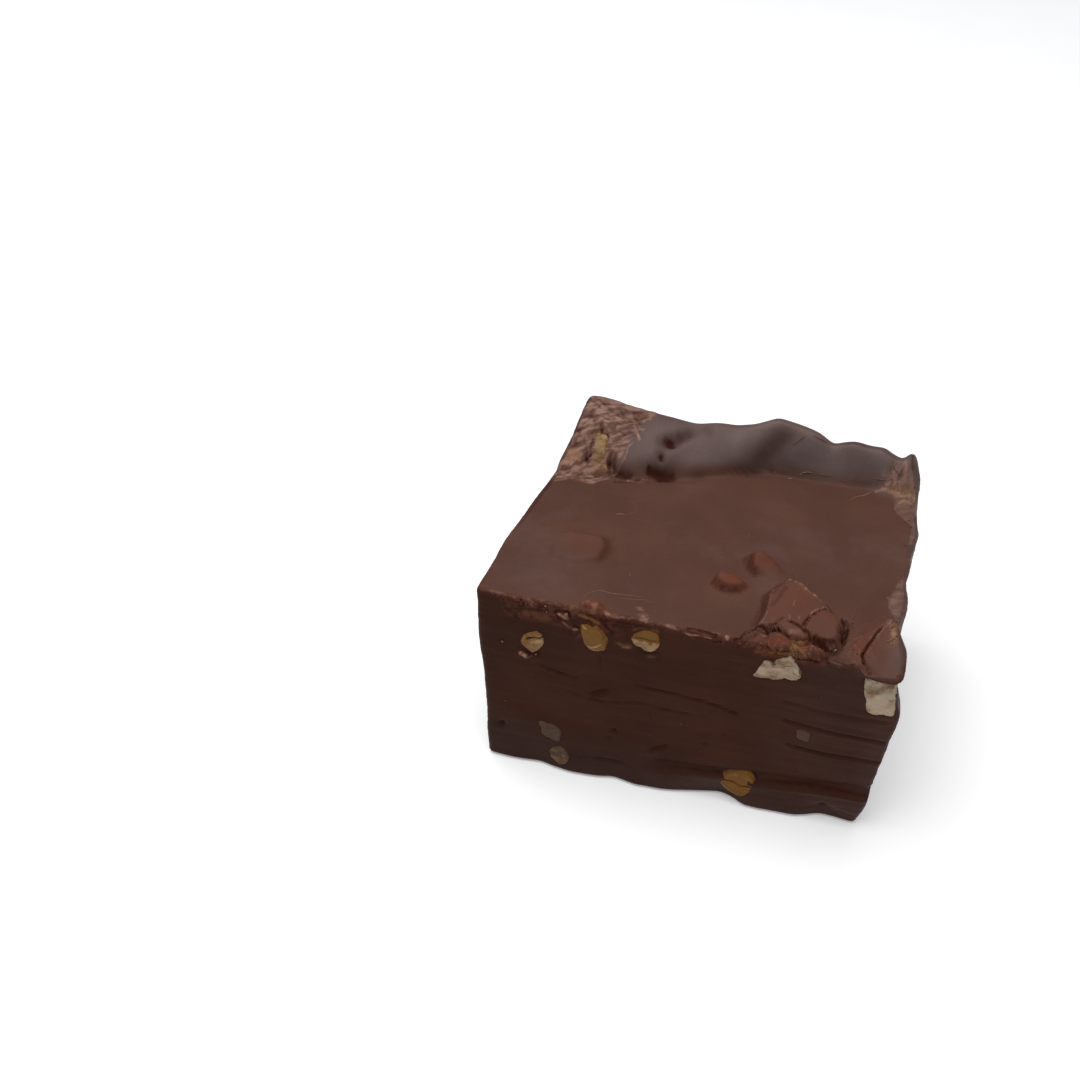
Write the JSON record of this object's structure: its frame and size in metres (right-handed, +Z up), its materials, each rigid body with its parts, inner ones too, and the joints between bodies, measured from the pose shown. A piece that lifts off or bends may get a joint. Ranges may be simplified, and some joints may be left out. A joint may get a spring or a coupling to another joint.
{
  "type": "rocky road fudge",
  "caption": "Hand-cut block of chocolate fudge with a thick rim along one edge, lumps on top, and marshmallow and nuts bared on its cut sides.",
  "frame": {"origin": "middle of the box round the block, on the flat underside it stands on", "axes": "+Z up, +X along the cut front from its left end to its right end, +Y from the cut front to the rim at the back, so the front faces -Y"},
  "size_m": [0.064, 0.0493, 0.0434],
  "materials": {
    "fudge": "dull satin chocolate, smooth on top and dragged by the knife on its cut sides",
    "marshmallow": "matt, slightly stained by the chocolate",
    "nut": "matt cut nut, smeared with chocolate"
  },
  "bodies": {
    "root": {"fudge_block": "fudge", "marshmallow_front": "marshmallow", "marshmallow_corner": "marshmallow", "marshmallow_left": "marshmallow", "marshmallow_right": "marshmallow", "nut_front_1": "nut", "nut_front_2": "nut", "nut_front_3": "nut", "nut_front_4": "nut", "nut_front_5": "nut", "nut_front_6": "nut", "nut_front_7": "nut", "nut_left_1": "nut", "nut_left_2": "nut", "nut_left_3": "nut", "nut_left_4": "nut", "nut_left_5": "nut", "nut_right_1": "nut", "nut_right_2": "nut", "nut_right_3": "nut", "nut_right_4": "nut", "nut_right_5": "nut", "nut_rim": "nut"}
  },
  "joints": []
}
